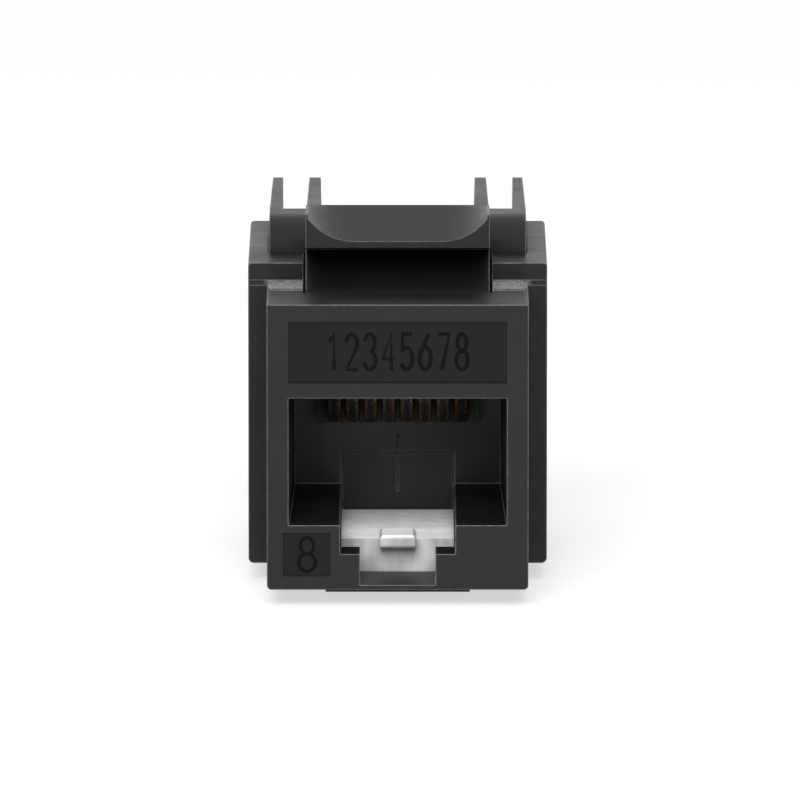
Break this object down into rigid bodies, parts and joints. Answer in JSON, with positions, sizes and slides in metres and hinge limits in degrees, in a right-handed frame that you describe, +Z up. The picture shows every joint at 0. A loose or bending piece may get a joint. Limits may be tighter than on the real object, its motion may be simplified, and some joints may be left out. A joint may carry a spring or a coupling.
{
  "type": "keystone jack",
  "caption": "Black snap-in keystone jack: modular socket in front, sprung panel latch on top, rear wiring block with insulation-cutting terminals.",
  "frame": {"origin": "under the middle of the bounding box, on the plane that the lug and the wiring block stand on", "axes": "+Y from the front face back to the wiring side, +Z up towards the latch, +X to the right seen from the front"},
  "size_m": [0.0166, 0.0274, 0.0212],
  "materials": {
    "housing_black": "satin moulded black polycarbonate",
    "latch_black": "satin moulded black polycarbonate",
    "comb_black": "dull moulded black plastic",
    "block_black": "satin moulded black polycarbonate",
    "insert_clear": "clear polycarbonate with a faint milky cast",
    "contact_gold": "gold-plated phosphor bronze",
    "blade_tin": "dull tin plate on phosphor bronze",
    "board_green": "green solder mask"
  },
  "bodies": {
    "jack": {"front_housing": "housing_black", "clear_insert": "insert_clear", "contact_comb": "comb_black", "circuit_board": "board_green", "idc_block": "block_black", "contact_1": "contact_gold", "contact_2": "contact_gold", "contact_3": "contact_gold", "contact_4": "contact_gold", "contact_5": "contact_gold", "contact_6": "contact_gold", "contact_7": "contact_gold", "contact_8": "contact_gold", "idc_blade_1": "blade_tin", "idc_blade_2": "blade_tin", "idc_blade_3": "blade_tin", "idc_blade_4": "blade_tin", "idc_blade_5": "blade_tin", "idc_blade_6": "blade_tin", "idc_blade_7": "blade_tin", "idc_blade_8": "blade_tin"},
    "latch": {"panel_latch": "latch_black"}
  },
  "joints": [
    {"name": "latch_press", "type": "hinge", "parent": "jack", "child": "latch", "pos_m": [0, -0.00865, 0.0156], "axis": [-1, 0, 0], "range_deg": [0, 16], "stiffness_Nm_per_rad": 0.1}
  ]
}
